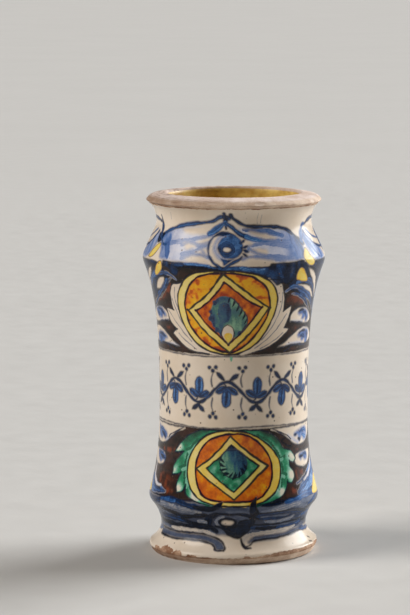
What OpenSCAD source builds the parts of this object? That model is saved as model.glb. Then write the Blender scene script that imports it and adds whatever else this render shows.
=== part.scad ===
// Albarello: a waisted apothecary jar of thrown earthenware, glazed white outside and honey inside.
// Half sections are lists of [radius, height] in millimetres, turned about the vertical axis.

/* [Foot] */
// How far the foot's widest edge is set in from the upper ridge
foot_inset = 4.3; // [0:0.1:8]
// Height of the foot's widest edge above the table
foot_edge_h = 6.4; // [4:0.2:9]
// How far the ring that the jar stands on is set in from the foot's widest edge
foot_rest_inset = 3; // [1:0.1:5]
// Rise of the foot's top towards the wall, in degrees
foot_slope = 33; // [20:1:45]
// Rounding of the foot's edge
foot_round = 2.2; // [1:0.1:3]
// Radius of the hollow in the underside
hollow_r = 34; // [20:1:45]
// Depth of the hollow in the underside
hollow_h = 2; // [0.5:0.1:4]

/* [Wall] */
// Radius of the drawn-in ankle above the foot
ankle_r = 49.7; // [46:0.1:52]
// Height of the ankle
ankle_h = 19; // [17:0.5:22]
// How far the lower ridge, the belly, is set in from the upper ridge
belly_inset = 4.2; // [0:0.1:8]
// Height of the lower ridge
belly_h = 38; // [35:0.5:46]
// Radius of the waist
waist_r = 50.8; // [46:0.1:55]
// Height of the waist
waist_h = 106; // [90:1:125]
// Radius of the upper ridge, the shoulder, where the jar is widest
shoulder_r = 62.9; // [58:0.1:68]
// Rounding of the two ridges
ridge_round = 3.5; // [1.5:0.1:5]

/* [Neck and rim] */
// Overall height of the jar
jar_h = 250; // [225:1:275]
// Radius of the neck
neck_r = 52.8; // [50:0.1:56]
// Rise from the upper ridge to the neck's narrowest place
neck_rise = 25.5; // [20:0.5:32]
// Rise from the neck's narrowest place to the rim's widest edge
rim_rise = 14.1; // [10:0.1:18]
// Rise from the rim's widest edge to the lip
lip_rise = 5.4; // [4.5:0.1:8]
// How far the rim's widest edge is set in from the upper ridge
rim_inset = 2; // [0:0.1:5]
// Rounding of the rim's edge
rim_round = 1.5; // [0.8:0.1:2]
// Width of the bevel between the rim's edge and its top
rim_bevel = 3.6; // [2:0.1:5]
// Radius of the mouth at the lip
lip_r = 46.3; // [44:0.1:48]
// Rounding of the lip
lip_round = 2; // [1:0.1:3]

/* [Clay] */
// Thickness of the clay wall
wall_t = 6.2; // [4:0.1:7]
// Thickness of the clay floor above the table
floor_t = 10.5; // [7:0.5:12]
// Extra thickness of the lower wall, behind the belly
heel_t = 3; // [0.5:0.1:4]
// Height from the belly's ridge up to where the inside is widest
heel_rise = 12; // [8:1:18]
// Width of the rounded corner between the floor and the lower wall
heel_w = 20; // [16:1:24]
// Extra thickness of the upper wall, behind the shoulder
shoulder_t = 2; // [1:0.1:4]
// How far the inside of the shoulder lies below the outer ridge
shoulder_drop = 3; // [1:0.5:6]

/* [Glaze] */
// Thickness of the white glaze on the outside
glaze_t = 0.6; // [0.3:0.1:1]
// Thickness of the honey glaze on the inside
lining_t = 0.4; // [0.2:0.1:0.8]
// Width of bare clay between the white glaze and the rim's widest edge
rim_bare = 3; // [2:0.1:4]

/* [Hidden] */
$fn = 240;

// Radii and heights that follow from the sizes above.
foot_r = shoulder_r - foot_inset;
foot_rest_r = foot_r - foot_rest_inset;
belly_r = shoulder_r - belly_inset;
rim_r = shoulder_r - rim_inset;
rim_edge_h = jar_h - lip_rise;
neck_h = rim_edge_h - rim_rise;
shoulder_h = neck_h - neck_rise;
right_angle = 90;

// Headings along a section, in degrees from straight up, positive away from the axis.
up = 0;
down = 180;
inward = 270;
foot_flank = atan2(foot_r - foot_rest_r, foot_edge_h);
foot_top = foot_slope - right_angle;
belly_under = 42;
belly_over = -14;
shoulder_under = 21;
shoulder_over = -21;
rim_under = 64;
rim_over = -45;
rim_top = atan2(lip_r - (rim_r - rim_bevel), jar_h - (rim_edge_h + rim_bevel));

// How far each curve holds the headings it leaves and arrives on, as shares of its height.
foot_holds = [0.35, 0.35];
ankle_holds = [0.45, 0.2];
belly_holds = [0.3, 0.55];
waist_holds = [0.58, 0.22];
shoulder_holds = [0.55, 0.25];
neck_holds = [0.5, 0.2];
mouth_holds = [0.3, 0.3];
inner_shoulder_holds = [0.3, 0.4];
inner_waist_holds = [0.08, 0.72];
inner_belly_holds = [0.5, 0.2];
floor_holds = [0.35, 0.25];

// Steps in one curve of a wall and in one rounded corner.
wall_steps = 12;
corner_steps = 6;

function heading(angle) = [sin(angle), cos(angle)];

function bezier(a, b, c, d, t) =
    a * pow(1 - t, 3) + 3 * b * t * pow(1 - t, 2) + 3 * c * t * t * (1 - t) + d * pow(t, 3);

// Curve from a to b that leaves along one heading and arrives along another. A curve and a corner leave
// their last point to the stretch that comes next.
function sweep(a, leaves, b, arrives, holds) =
    let (height = abs(b[1] - a[1]))
    let (bend_a = a + holds[0] * height * heading(leaves))
    let (bend_b = b - holds[1] * height * heading(arrives))
    [for (i = [0 : wall_steps - 1]) bezier(a, bend_a, bend_b, b, i / wall_steps)];

// Rounded corner at p, from one heading to another, that starts and ends size away from p.
function corner_start(p, arrives, size) = p - size * heading(arrives);
function corner_end(p, leaves, size) = p + size * heading(leaves);
function corner(p, arrives, leaves, size) =
    let (bend_a = corner_start(p, arrives, size / 3))
    let (bend_b = corner_end(p, leaves, size / 3))
    [for (i = [0 : corner_steps - 1])
        bezier(
            corner_start(p, arrives, size), bend_a,
            bend_b, corner_end(p, leaves, size), i / corner_steps)];

// Line moved sideways by a distance, away from the axis where it runs upwards.
function along(line, i) = line[min(i + 1, len(line) - 1)] - line[max(i - 1, 0)];
function moved(line, distance) =
    [for (i = [0 : len(line) - 1])
        let (way = along(line, i) / norm(along(line, i)))
        line[i] + distance * [way[1], -way[0]]];

function reversed(line) = [for (i = [len(line) - 1 : -1 : 0]) line[i]];

// Stations of the outside, from the foot to the lip.
foot_p = [foot_r, foot_edge_h];
ankle_p = [ankle_r, ankle_h];
belly_p = [belly_r, belly_h];
waist_p = [waist_r, waist_h];
shoulder_p = [shoulder_r, shoulder_h];
neck_p = [neck_r, neck_h];
rim_p = [rim_r, rim_edge_h];
bevel_p = [rim_r - rim_bevel, rim_edge_h + rim_bevel];
lip_p = [lip_r, jar_h];

// Stations of the inside, from the neck to the floor.
inner_neck_p = [neck_r - wall_t, neck_h];
inner_shoulder_p = [shoulder_r - wall_t - shoulder_t, shoulder_h - shoulder_drop];
inner_waist_p = [waist_r - wall_t, waist_h];
inner_belly_p = [belly_r - wall_t - heel_t, belly_h + heel_rise];
floor_p = [ankle_r - heel_w, floor_t];

// The stretch that the white glaze covers, from round the foot's edge up to just under the rim's edge.
glazed_line = concat(
    corner(foot_p, foot_flank, foot_top, foot_round),
    sweep(corner_end(foot_p, foot_top, foot_round), foot_top, ankle_p, up, foot_holds),
    sweep(
        ankle_p, up,
        corner_start(belly_p, belly_under, ridge_round), belly_under, ankle_holds),
    corner(belly_p, belly_under, belly_over, ridge_round),
    sweep(corner_end(belly_p, belly_over, ridge_round), belly_over, waist_p, up, belly_holds),
    sweep(
        waist_p, up,
        corner_start(shoulder_p, shoulder_under, ridge_round), shoulder_under, waist_holds),
    corner(shoulder_p, shoulder_under, shoulder_over, ridge_round),
    sweep(
        corner_end(shoulder_p, shoulder_over, ridge_round), shoulder_over,
        neck_p, up, shoulder_holds),
    sweep(neck_p, up, corner_start(rim_p, rim_under, rim_bare), rim_under, neck_holds),
    [corner_start(rim_p, rim_under, rim_bare)]);

// The stretch that the honey glaze covers, from the lip down the inside to the middle of the floor.
lined_line = concat(
    sweep(corner_end(lip_p, down, lip_round), down, inner_neck_p, down, mouth_holds),
    sweep(inner_neck_p, down, inner_shoulder_p, down, inner_shoulder_holds),
    sweep(inner_shoulder_p, down, inner_waist_p, down, inner_waist_holds),
    sweep(inner_waist_p, down, inner_belly_p, down, inner_belly_holds),
    sweep(inner_belly_p, down, floor_p, inward, floor_holds),
    [floor_p, [0, floor_t]]);

// Bare stretches of the clay: the rim and the underside. The foot's flank, a straight line, is bare too.
rim_line = concat(
    corner(rim_p, rim_under, rim_over, rim_round),
    [corner_end(rim_p, rim_over, rim_round)],
    corner(bevel_p, rim_over, rim_top, rim_round),
    [corner_end(bevel_p, rim_top, rim_round)],
    corner(lip_p, rim_top, down, lip_round));
underside_line = [for (i = [0 : corner_steps])
    let (share = i / corner_steps)
    [hollow_r * share, hollow_h * (1 - share * share)]];

// The thrown jar: foot, waisted wall, flanged rim and floor in one piece of fired clay.
module clay_body() {
    color("burlywood")
    rotate_extrude()
    polygon(concat(
        underside_line, [[foot_rest_r, 0]], glazed_line, rim_line, lined_line));
}

// White tin glaze on the outside, which carries the painting, from round the foot's edge to below the rim.
module outer_glaze() {
    color("oldlace")
    rotate_extrude()
    polygon(concat(glazed_line, reversed(moved(glazed_line, glaze_t))));
}

// Honey lead glaze that makes the inside tight, from the lip down over the floor.
module inner_glaze() {
    color("goldenrod")
    rotate_extrude()
    polygon(concat(lined_line, reversed(moved(lined_line, lining_t))));
}

clay_body();
outer_glaze();
inner_glaze();
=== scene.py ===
import math

import bpy
import numpy as np
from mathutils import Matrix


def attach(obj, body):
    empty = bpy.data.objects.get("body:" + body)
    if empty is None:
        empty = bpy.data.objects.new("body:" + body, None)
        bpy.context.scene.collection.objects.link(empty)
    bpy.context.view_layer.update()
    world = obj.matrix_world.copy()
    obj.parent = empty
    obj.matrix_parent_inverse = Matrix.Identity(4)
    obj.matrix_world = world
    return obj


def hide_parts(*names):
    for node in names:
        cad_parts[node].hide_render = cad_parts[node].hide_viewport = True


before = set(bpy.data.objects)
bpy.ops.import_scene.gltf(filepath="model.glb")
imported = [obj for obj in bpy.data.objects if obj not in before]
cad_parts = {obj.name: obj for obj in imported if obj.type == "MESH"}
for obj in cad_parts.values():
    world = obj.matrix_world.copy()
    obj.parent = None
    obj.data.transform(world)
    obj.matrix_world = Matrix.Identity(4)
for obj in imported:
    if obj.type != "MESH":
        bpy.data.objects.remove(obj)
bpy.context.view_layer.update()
scene = bpy.context.scene
mm = 0.001
print("frame loaded")


# Small tools for operators

def deselectAll():
    if bpy.context.object and bpy.context.object.mode != "OBJECT":
        bpy.ops.object.mode_set(mode="OBJECT")
    bpy.ops.object.select_all(action="DESELECT")


def makeActive(piece):
    deselectAll()
    piece.select_set(True)
    bpy.context.view_layer.objects.active = piece


def editMesh(*steps):
    # each step is an operator with its settings, run on the whole active mesh
    bpy.ops.object.mode_set(mode="EDIT")
    for operator, settings in steps:
        bpy.ops.mesh.select_all(action="SELECT")
        operator(**settings)
    bpy.ops.object.mode_set(mode="OBJECT")


def readVerts(piece):
    places = np.empty(len(piece.data.vertices) * 3)
    piece.data.vertices.foreach_get("co", places)
    return places.reshape(-1, 3)


def writeVerts(piece, places):
    piece.data.vertices.foreach_set("co", np.ascontiguousarray(places, dtype=np.float32).ravel())
    piece.data.update()


def addAttribute(piece, name, values):
    layer = piece.data.attributes.new(name, "FLOAT", "POINT")
    layer.data.foreach_set("value", np.ascontiguousarray(values, dtype=np.float32))


def easeStep(low, high, x):
    t = np.clip((x - low) / (high - low), 0, 1)
    return t * t * (3 - 2 * t)


def softNoise(around, along, cellAround, cellAlong, seed):
    # smooth noise from -1 to 1 that closes on itself after 360 degrees
    across = max(3, int(round(360 / cellAround)))
    down = int(np.max(along) / cellAlong) + 3
    grid = np.random.default_rng(seed).uniform(-1, 1, (down + 1, across))
    x = (np.mod(around, 360) / 360) * across
    y = np.maximum(along, 0) / cellAlong
    x0 = np.floor(x).astype(int)
    y0 = np.clip(np.floor(y).astype(int), 0, down - 1)
    fx = easeStep(0, 1, x - x0)
    fy = easeStep(0, 1, y - y0)
    xa, xb = np.mod(x0, across), np.mod(x0 + 1, across)
    low = grid[y0, xa] * (1 - fx) + grid[y0, xb] * fx
    high = grid[y0 + 1, xa] * (1 - fx) + grid[y0 + 1, xb] * fx
    return low * (1 - fy) + high * fy


# Half sections of the jar, read off the solids

def sectionLine(nodeName):
    deselectAll()
    piece = bpy.data.objects.new("section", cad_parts[nodeName].data.copy())
    scene.collection.objects.link(piece)
    makeActive(piece)
    cut = {"plane_co": (0, 0, 0), "plane_no": (0, 1, 0), "clear_inner": True, "clear_outer": True}
    editMesh((bpy.ops.mesh.remove_doubles, {"threshold": 0.000005}), (bpy.ops.mesh.bisect, cut))
    places = readVerts(piece)
    nextTo = {}
    for edge in piece.data.edges:
        a, b = edge.vertices
        if min(places[a, 0], places[b, 0]) > -1e-6:     # the half with x from 0 up
            nextTo.setdefault(a, []).append(b)
            nextTo.setdefault(b, []).append(a)
    ends = [v for v in nextTo if len(nextTo[v]) == 1]
    start = min(ends or nextTo, key=lambda v: places[v, 2])
    line, last, here = [start], None, start
    while True:
        ahead = [v for v in nextTo[here] if v != last and v != start]
        if not ahead:
            break
        last, here = here, ahead[0]
        line.append(here)
    result = places[line][:, [0, 2]] / mm
    bpy.data.objects.remove(piece, do_unlink=True)
    return result


def pointsAlong(points):
    return np.concatenate([[0], np.cumsum(np.hypot(*np.diff(points, axis=0).T))])


def smoothLine(points, stations):
    # cubic through the points, read at stations given in mm along the line
    along = pointsAlong(points)
    slope = np.gradient(points, along, axis=0)
    at = np.clip(np.searchsorted(along, stations, side="right") - 1, 0, len(points) - 2)
    span = (along[at + 1] - along[at])[:, None]
    t = (stations - along[at])[:, None] / span
    return ((2 * t**3 - 3 * t**2 + 1) * points[at] + (t**3 - 2 * t**2 + t) * span * slope[at]
            + (3 * t**2 - 2 * t**3) * points[at + 1] + (t**3 - t**2) * span * slope[at + 1])


def evenStations(line, step):
    stations = np.arange(0, pointsAlong(line)[-1], step)
    stations[-1] = pointsAlong(line)[-1]
    return stations


def cleanLine(points, nearest):
    kept = [points[0]]
    for point in points[1:]:
        if np.hypot(*(point - kept[-1])) > nearest:
            kept.append(point)
    return np.array(kept)


coatLoop = sectionLine("outer_glaze")
top = int(np.argmax(coatLoop[:, 1]))
faces = [coatLoop[:top + 1], np.vstack([coatLoop[:1], coatLoop[top:][::-1]])]
waistHigh = 100     # mm up, where the coat's two faces are told apart
coatIn, coatOut = sorted(faces, key=lambda face: np.interp(waistHigh, face[:, 1], face[:, 0]))
coatLow, coatHigh = coatIn[1], coatLoop[top]     # where the coat ends on the clay
coatOut = cleanLine(coatOut[:-1], 0.2)     # its outside, from the foot up

clayLine = sectionLine("clay_body")
clayLine = cleanLine(np.vstack([clayLine, [[0, clayLine[-1, 1]]]]), 0.2)

liningLoop = sectionLine("inner_glaze")[::-1]
top = int(np.argmax(liningLoop[:, 1]))
liningLine = cleanLine(liningLoop[:top + 1], 0.15)     # its inside, from the floor up
print("sections read", len(coatOut), len(clayLine), len(liningLine))


# Turned pieces: a line of points is spun about the jar's axis

def spinLine(name, line, columns):
    deselectAll()
    count = len(line)
    bpy.ops.mesh.primitive_grid_add(x_subdivisions=count - 1, y_subdivisions=1, size=1)
    piece = bpy.context.object
    piece.name = piece.data.name = name
    far = readVerts(piece)[:, 1] > 0
    bpy.ops.object.mode_set(mode="EDIT")
    bpy.ops.mesh.select_all(action="DESELECT")
    bpy.ops.object.mode_set(mode="OBJECT")
    piece.data.vertices.foreach_set("select", far)
    bpy.ops.object.mode_set(mode="EDIT")
    bpy.ops.mesh.delete(type="VERT")
    bpy.ops.object.mode_set(mode="OBJECT")
    order = np.argsort(readVerts(piece)[:, 0])
    places = np.zeros((count, 3))
    places[order, 0] = line[:, 0] * mm
    places[order, 2] = line[:, 1] * mm
    writeVerts(piece, places)
    seam = 0.000002     # points this near are one
    turn = piece.modifiers.new("turn", "SCREW")
    turn.axis = "Z"
    turn.angle = 2 * math.pi
    turn.steps = turn.render_steps = columns
    turn.use_merge_vertices = True
    turn.merge_threshold = seam
    bpy.ops.object.modifier_apply(modifier="turn")
    editMesh((bpy.ops.mesh.remove_doubles, {"threshold": seam}),
             (bpy.ops.mesh.normals_make_consistent, {"inside": False}))
    for layer in list(piece.data.uv_layers):
        piece.data.uv_layers.remove(layer)
    bpy.ops.object.shade_smooth()
    return piece


def turnedPlaces(piece):
    # degrees round from the front, radius and height of each point
    places = readVerts(piece) / mm
    around = np.degrees(np.arctan2(places[:, 0], -places[:, 1]))
    return around, np.hypot(places[:, 0], places[:, 1]), places[:, 2]


def placeTurned(piece, around, radius, height):
    turn = np.radians(around)
    writeVerts(piece, np.column_stack([radius * np.sin(turn), -radius * np.cos(turn), height]) * mm)


def outward(piece, sign):
    # faces look away from the axis for sign 1 and towards it for -1
    facing, middle = np.empty((2, len(piece.data.polygons) * 3))
    piece.data.polygons.foreach_get("normal", facing)
    piece.data.polygons.foreach_get("center", middle)
    looks = facing.reshape(-1, 3)[:, :2] * middle.reshape(-1, 3)[:, :2]
    if looks.sum() * sign < 0:
        makeActive(piece)
        editMesh((bpy.ops.mesh.flip_normals, {}))


# How the thrown jar departs from a true round one
hand = {
    "footLean": 0.9,       # mm the foot rises on the viewer's right
    "leanReach": 42,       # mm up to where the lean has died out
    "leanBend": 1.4,       # how sharply it dies out
    "swell": 0.16,         # mm of slow swelling round the wall
    "rings": 0.045,        # mm of the finger marks left by throwing
}


def handShift(around, height):
    fade = np.clip(1 - height / hand["leanReach"], 0, 1) ** hand["leanBend"]
    lift = hand["footLean"] * np.sin(np.radians(around)) * fade
    grow = hand["swell"] * softNoise(around, height, 60, 50, 11)
    return grow, lift


# Outer coat of white tin glaze, painted by brush. Places on it are given as degrees round from the
# front and millimetres up along the coat, which are close to one another in size.
coat = {
    "columns": 720,
    "rowStep": 0.5,
    "pieces": 4,
    "repeat": 180,         # degrees after which the painting comes round again
    "seam": -95,           # degrees where one repeat starts
    "wrap": 4.5,           # mm of the coat round the foot's edge, below where the painting is measured from
    "frontSway": 0.22,     # mm that the brush strays in front
    "backSway": 1.1,       # and at the back
    "backFrom": (78, 112),     # degrees round where the one gives way to the other
    "drift": 200,          # degrees by which the drifts in the paint are turned
}

coatUp = evenStations(coatOut, coat["rowStep"])
coatLength = coatUp[-1]
coatRows = smoothLine(coatOut, coatUp)
columnTurn = np.arange(coat["columns"]) * 360 / coat["columns"] - 180
turnGrid, upGrid = np.meshgrid(columnTurn, coatUp)
paintU = np.mod(turnGrid - coat["seam"], coat["repeat"]) + coat["seam"]
paintV = upGrid - coat["wrap"]
backShare = easeStep(*coat["backFrom"], np.abs(turnGrid))
sways = (coat["backSway"] * backShare, 13, 21), (coat["frontSway"] * (1 - backShare), 3, 23)
for sway, cell, seed in sways:
    paintU = paintU + sway * softNoise(turnGrid, upGrid, cell, cell, seed)
    paintV = paintV + sway * softNoise(turnGrid, upGrid, cell, cell, seed + 1)

layerNames = ["wash", "brown", "slate", "blue", "warm", "green", "feather", "line"]
unpainted = -6.0     # mm from the edge of any paint
paint = {name: {"edge": np.full(turnGrid.shape, unpainted), "load": np.zeros(turnGrid.shape)}
         for name in layerNames}
brush = {
    "margin": 2.5,             # mm beside a stroke within which its distance is kept
    "bleed": (0.5, 2),         # mm past its edge where it covers all, and where it covers what is farther off
    "press": (0.14, 0.1),      # quick and slow share of a stroke's width that comes and goes
    "pace": (0.83, 0.37),      # waves of the quick press, and of the slow one beside it
    "hairs": (5.3, 11.9),      # waves of the hair marks across a stroke
    "pool": 1.2,               # mm that paint pools along an edge
    "cut": 1.2,                # mm between the points of a smoothed path, about
    "strokes": 0,              # laid so far
}


def way(text):
    # places parted by spaces, their numbers by commas: degrees,mm or degrees,mm,width in a stroke
    return [tuple(float(number) for number in place.split(",")) for place in text.split()]


def rows(text):
    # lines parted by semicolons, each of places or of numbers, a bar and places
    for line in text.split(";"):
        numbers, bar, places = line.rpartition("|")
        yield [float(number) for number in numbers.split()] + [way(places)]


def ways(text):
    return [points for points, in rows(text)]


def smoothPath(points, closed=False):
    points = np.array(points, dtype=float)
    if len(points) < 3 and not closed:
        return points
    steps = np.hypot(*np.diff(points[:, :2], axis=0).T)
    cuts = int(np.clip(np.median(steps) / brush["cut"], 2, 8))
    if closed:
        a, b, c, d = (np.roll(points, shift, axis=0) for shift in (1, 0, -1, -2))
    else:
        ends = np.vstack([2 * points[0] - points[1], points, 2 * points[-1] - points[-2]])
        a, b, c, d = ends[:-3], ends[1:-2], ends[2:-1], ends[3:]
    t = np.linspace(0, 1, cuts, endpoint=False)[:, None, None]
    path = 0.5 * (2 * b + (c - a) * t + (2 * a - 5 * b + 4 * c - d) * t**2
                  + (3 * b - a - 3 * c + d) * t**3)
    path = path.transpose(1, 0, 2).reshape(-1, points.shape[1])
    return path if closed else np.vstack([path, points[-1:]])


def nearPath(path, margin):
    (lowU, lowV), (highU, highV) = path[:, :2].min(0) - margin, path[:, :2].max(0) + margin
    return np.nonzero((paintU > lowU) & (paintU < highU) & (paintV > lowV) & (paintV < highV))


def strokeReach(points, width, rounded=True, press=1.0):
    # mm inside the stroke's edge, where across the stroke, from -1 to 1, and how far along it, from 0 to 1
    path = [tuple(p) if len(p) == 3 else (p[0], p[1], width) for p in points]
    path = smoothPath(path) if rounded else np.array(path, dtype=float)
    quick, slow = brush["press"]
    pace, slower = brush["pace"]
    pressed = np.arange(len(path)) * pace + len(path)
    path[:, 2] *= press * (1 + quick * np.sin(pressed) + slow * np.sin(pressed * slower))
    pick = nearPath(path, path[:, 2].max() / 2 + brush["margin"])
    u, v = paintU[pick], paintV[pick]
    reach = np.full(u.shape, -9.0)     # mm, past any margin
    across, along = np.zeros(u.shape), np.zeros(u.shape)
    for index, ((u0, v0, w0), (u1, v1, w1)) in enumerate(zip(path[:-1], path[1:])):
        du, dv = u1 - u0, v1 - v0
        span = max(du * du + dv * dv, 1e-9)
        t = np.clip(((u - u0) * du + (v - v0) * dv) / span, 0, 1)
        offU, offV = u - u0 - t * du, v - v0 - t * dv
        half = (w0 + (w1 - w0) * t) / 2
        depth = half - np.hypot(offU, offV)
        better = depth > reach
        side = (du * offV - dv * offU) / (math.sqrt(span) * np.maximum(half, 0.2))
        reach = np.where(better, depth, reach)
        across = np.where(better, side, across)
        along = np.where(better, (index + t) / (len(path) - 1), along)
    return pick, reach, across, along


def patchReach(points, rounded=True):
    path = smoothPath(points, closed=True) if rounded else np.array(points, dtype=float)
    pick = nearPath(path, brush["margin"])
    u, v = paintU[pick], paintV[pick]
    gap = np.full(u.shape, 99.0)     # mm, farther than any edge
    inside = np.zeros(u.shape, dtype=bool)
    for (u0, v0), (u1, v1) in zip(path, np.roll(path, -1, axis=0)):
        du, dv = u1 - u0, v1 - v0
        span = max(du * du + dv * dv, 1e-9)
        t = np.clip(((u - u0) * du + (v - v0) * dv) / span, 0, 1)
        gap = np.minimum(gap, np.hypot(u - u0 - t * du, v - v0 - t * dv))
        if v0 != v1:
            inside ^= ((v0 > v) != (v1 > v)) & (u < u0 + (v - v0) * du / (v1 - v0))
    flat = np.zeros(u.shape)
    return pick, np.where(inside, gap, -gap), flat, flat


def layPaint(layer, load, reachOf, streak=0.0, rim=0.0):
    # load is a number, a pair for the two ends of a stroke or a function of the place
    pick, reach, across, along = reachOf
    brush["strokes"] += 1
    seed = brush["strokes"] * 1.7
    edge, oldLoad = paint[layer]["edge"], paint[layer]["load"]
    if callable(load):
        amount = load(paintU[pick], paintV[pick])
    else:
        first, last = load if isinstance(load, tuple) else (load, load)
        amount = first + (last - first) * along
    wide, narrow = brush["hairs"]
    hairs = np.sin(across * wide + seed) + 0.7 * np.sin(across * narrow + seed * 2.3)
    amount = amount + streak * hairs + rim * np.exp(-np.maximum(reach, 0) / brush["pool"])
    was = edge[pick]
    near, far = brush["bleed"]
    over = (reach > -near) | ((reach > was) & (reach > -far))
    oldLoad[pick] = np.where(over, amount, oldLoad[pick])
    edge[pick] = np.maximum(was, reach)


def spare(reachOf, layers=layerNames):
    # takes the paint of these layers off again
    pick, reach = reachOf[:2]
    for name in layers:
        edge = paint[name]["edge"]
        edge[pick] = np.minimum(edge[pick], -reach)


def stroke(layer, load, width, points, streak=0.07, rim=0.0, rounded=True, press=1.0):
    # the width is None where each place has its own
    layPaint(layer, load, strokeReach(points, width, rounded, press), streak, rim)


def patch(layer, load, points, rounded=True, streak=0.0, rim=0.0):
    layPaint(layer, load, patchReach(points, rounded), streak, rim)


def sparedPatch(layer, load, points, rim):
    spare(patchReach(points))
    patch(layer, load, points, rim=rim)


def band(layer, load, low, high):
    reach = np.minimum(paintV - low, high - paintV)
    pick = np.nonzero(reach > -3)
    flat = np.zeros(len(pick[0]))
    layPaint(layer, load, (pick, reach[pick], flat, flat))


def outlined(points, load, width, rounded=True):
    stroke("line", load, width, points + points[:1], streak=0, rounded=rounded)


def bothSides(points):
    # points given by degrees from the middle of the jar's side, for the right and the left
    left, right = coat["seam"], coat["seam"] + coat["repeat"]
    return [(right - u, *more) for u, *more in points], [(left + u, *more) for u, *more in points]


def strokes(layer, text, load=None, width=None, spared=(), mirrored=False, ink=1, **how):
    # a line's own numbers are its load or the loads at its ends, and the width of places without one
    for *loads, points in rows(text):
        if loads and min(len(place) for place in points) == 2:
            width = loads.pop()
        ends = (loads[0] * ink, loads[-1] * ink) if loads else load
        for placed in bothSides(points) if mirrored else [points]:
            if spared:
                spare(strokeReach(placed, width), spared)
            stroke(layer, ends, width, placed, **how)


def graded(load, rise, start, end):
    # a load that rises between two places round the jar
    return lambda u, v: load + rise * easeStep(start, end, u)


def patchy(base, *drifts):
    # a load that drifts in spots or streaks: amount, width, height and seed of each
    def load(u, v):
        amount = base(u, v) if callable(base) else base
        for share, wide, high, seed in drifts:
            amount = amount + share * softNoise(u + coat["drift"], v, wide, high, seed)
        return amount
    return load


def oval(u, v, wide, high, count=14, start=0, end=360):
    turns = np.radians(np.linspace(start, end, count, endpoint=(end - start) < 360))
    return [(u + wide * math.cos(t), v + high * math.sin(t)) for t in turns]


# Brown ground of the two friezes

band("brown", patchy(0.78, (0.3, 8, 5, 61)), 140.3, 203)
band("brown", patchy(0.74, (0.34, 8, 5, 62)), 38.5, 89.6)
for load, points in rows("""
    0.16 | -68,174 -60,182 -48,189 -47,184 -50,180 -55,176;
    0.26 | 39,179 43,183 54,181 62,174 51,172 42,173;
    0.36 | -60,158 -52,159 -50,155 -60,155;
    0.36 | 46,158 54,159 58,157 50,154;
    0.3 | -62,143 -52,144 -44,142 -52,141;
    0.3 | 42,142.6 52,144 64,143 54,141.4;
    0.2 | -66,73 -50,75 -47,71 -54,69 -64,69;
    0.34 | 52,73 57,74 60,72 55,71;
    0.18 | -68,54 -58,57.6 -50,56 -47,50 -47,43 -55,41 -64,46;
    0.3 | 51,60 62,59 60,51 52,50;
    0.34 | 38,43 45,48 54,45 51,41 40,40
"""):
    patch("brown", patchy(load, (0.34, 3, 4, 61)), points, rim=0.5)


# Leaves on the jar's sides, between one painted face and the next

for placed in bothSides(way("""
    47,190 40,203 20,204 0,204 -6,204 -6,168 3,160 8,170 22,176 36,180
""")):
    patch("blue", patchy(0.86, (0.16, 6, 4, 63)), placed)
sideLeaves = ways("""
    40.3,161.9 39.7,165.6 37,168.8 32,170.6 25.6,170.6 19,169.2 14,166.3 9,161 14,158.5 22,159 29.4,160.4
    36,161.2; 51,144.6 43.5,148.1 37,151.9 29.4,155 21.8,156.5 14,155.8 8,153 3,148 8,145.5 19,144.4
    29.4,145.4 38.4,145.3 45,144.6; 30.5,199.8 23,197 15,191.5 9,184 5,176 9,178 17,187 25,193.5; 54,89
    46,84.8 39,80.4 33,76.7 24,74.8 14,76.1 6,80.6 3,86 6,89; 34,65.6 30.7,61.3 23,59.2 14,60.4 7.7,65
    5,69.5 10,70.6 18,70.3 25.6,70.2 31.4,68.9
""")
sideLeaves = [placed for leaf in sideLeaves for placed in bothSides(leaf)] + ways("""
    -67,182.6 -63,188.6 -58,191.8 -52.4,193 -53.4,189.4 -57,186 -61,183.4; 43,185.6 50,187.9 59,186.6 67,183
    75,176 71,176.6 62,181 50,184
""")
for leaf in sideLeaves:
    spare(patchReach(leaf))
    stroke("blue", 0.84, 1.1, leaf + leaf[:1], streak=0.1)

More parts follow.
